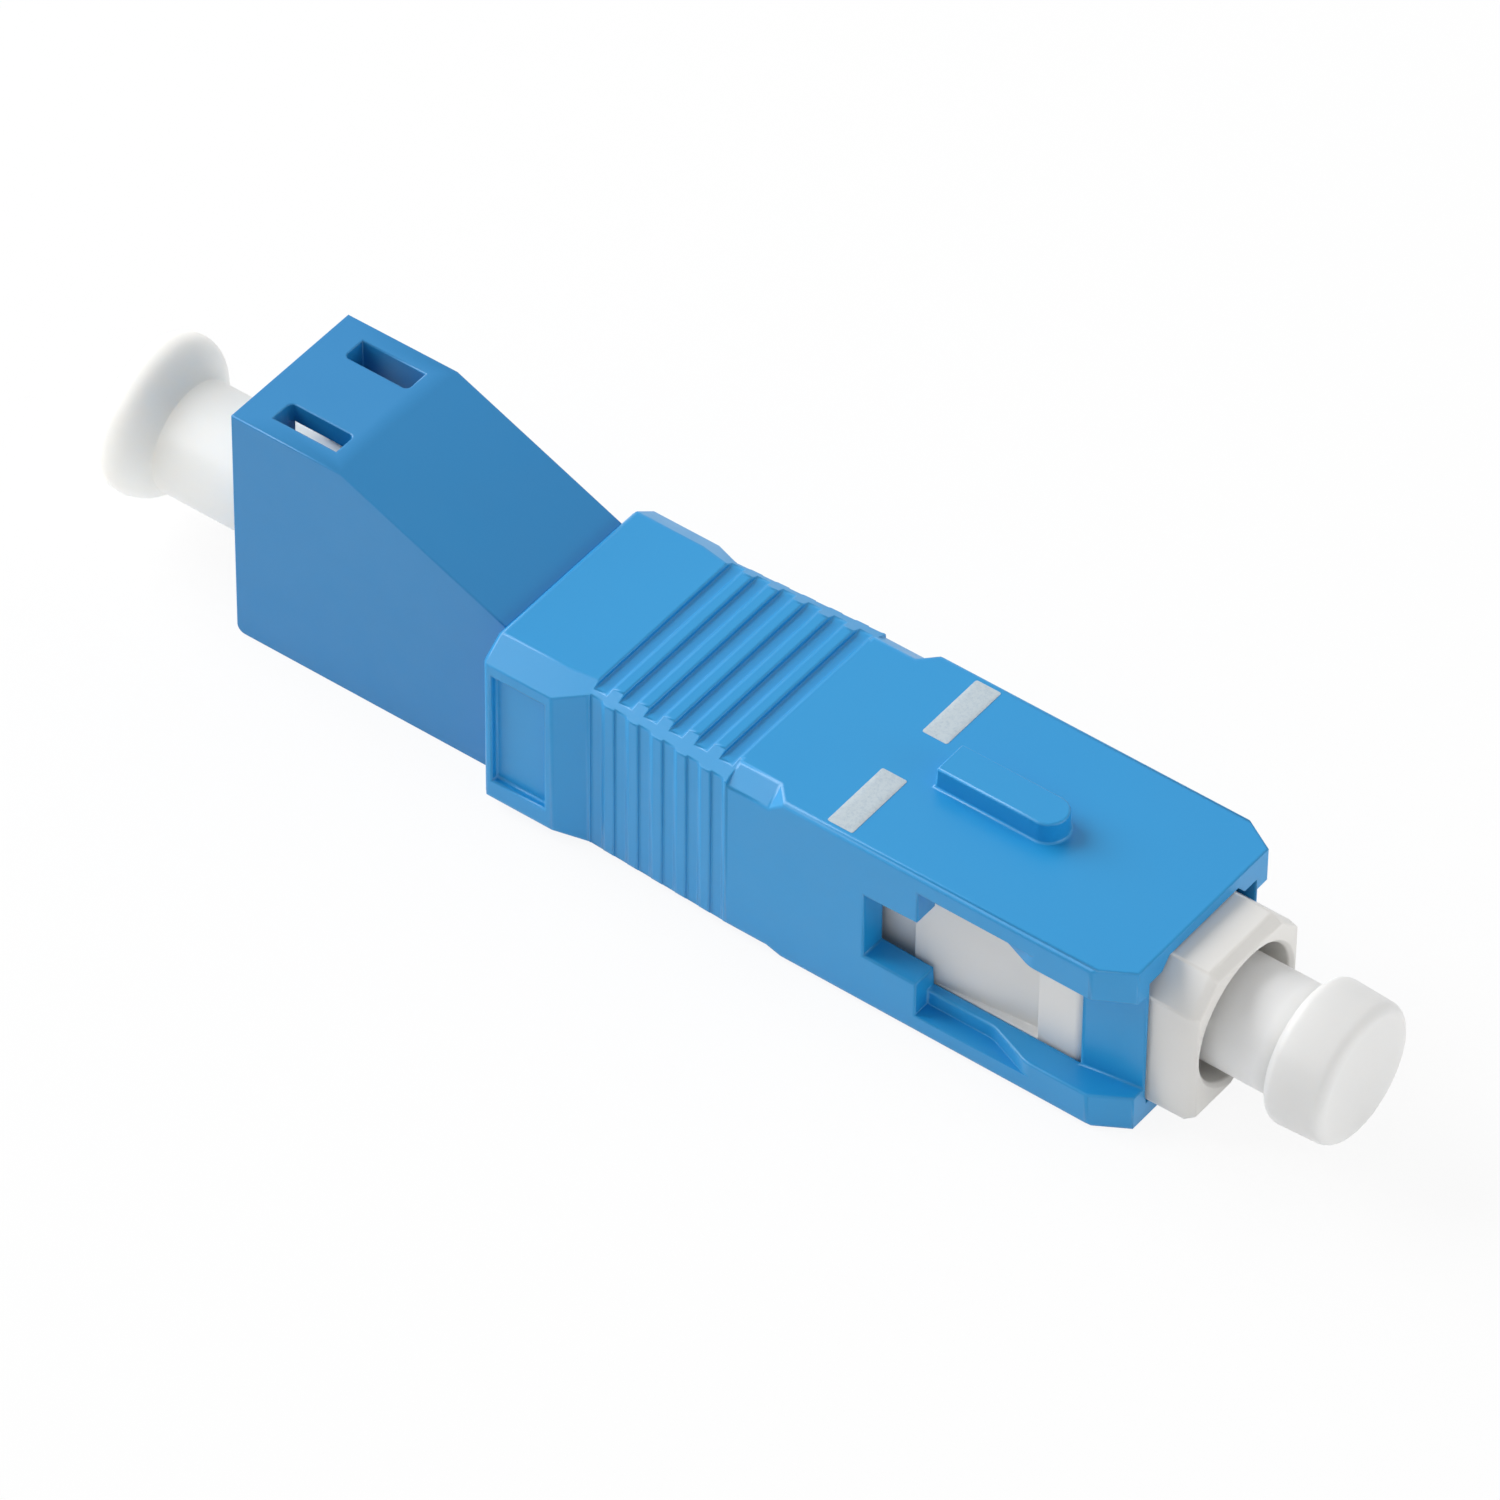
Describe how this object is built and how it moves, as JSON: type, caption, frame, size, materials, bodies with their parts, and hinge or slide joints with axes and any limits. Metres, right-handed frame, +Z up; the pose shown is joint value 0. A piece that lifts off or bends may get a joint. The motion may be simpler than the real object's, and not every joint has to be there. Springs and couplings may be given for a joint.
{
  "type": "hybrid fiber adapter",
  "caption": "Inline optical adapter with a sliding square push-pull plug end, a small latched port end, a floating ceramic ferrule core and pull-off dust caps",
  "frame": {"origin": "bottom centre of the adapter's bounding box, with both dust caps on, under the middle of its length", "axes": "+X along the optical axis from the small port end to the square plug end, +Z up on the key side, +Y to the left seen from the port end looking along +X"},
  "size_m": [0.052, 0.0094, 0.0103],
  "materials": {
    "blue_grip": "satin moulded polymer",
    "blue_port": "satin moulded polymer",
    "ivory_frame": "satin moulded polymer",
    "ivory_holder": "satin moulded polymer",
    "zirconia_sleeve": "fired white",
    "zirconia": "ground and polished",
    "nickel_flange": "turned, nickel plated",
    "silica": "polished ends",
    "spring_steel": "drawn wire",
    "white_plug": "soft moulded polyethylene",
    "clear_cap": "soft translucent polyethylene"
  },
  "bodies": {
    "adapter_body": {"lc_housing": "blue_port", "sc_plug_frame": "ivory_frame", "lc_sleeve_holder": "ivory_holder", "lc_split_sleeve": "zirconia_sleeve", "ferrule_spring": "spring_steel"},
    "grip": {"sc_outer_housing": "blue_grip"},
    "ferrule_core": {"ferrule_flange": "nickel_flange", "sc_ferrule": "zirconia", "lc_ferrule": "zirconia", "fibre_stub": "silica"},
    "lc_plug": {"lc_dust_plug": "white_plug"},
    "sc_cap": {"sc_dust_cap": "clear_cap"}
  },
  "joints": [
    {"name": "grip_slide", "type": "slide", "parent": "adapter_body", "child": "grip", "axis": [1, 0, 0], "range_m": [0, 0.0015]},
    {"name": "core_float", "type": "slide", "parent": "adapter_body", "child": "ferrule_core", "axis": [-1, 0, 0], "range_m": [0, 0.001], "stiffness_N_per_m": 20, "deforming": ["ferrule_spring"]},
    {"name": "lc_plug_pull", "type": "slide", "parent": "adapter_body", "child": "lc_plug", "axis": [-1, 0, 0], "range_m": [0, 0.0075]},
    {"name": "sc_cap_pull", "type": "slide", "parent": "adapter_body", "child": "sc_cap", "axis": [1, 0, 0], "range_m": [0, 0.0095]}
  ]
}
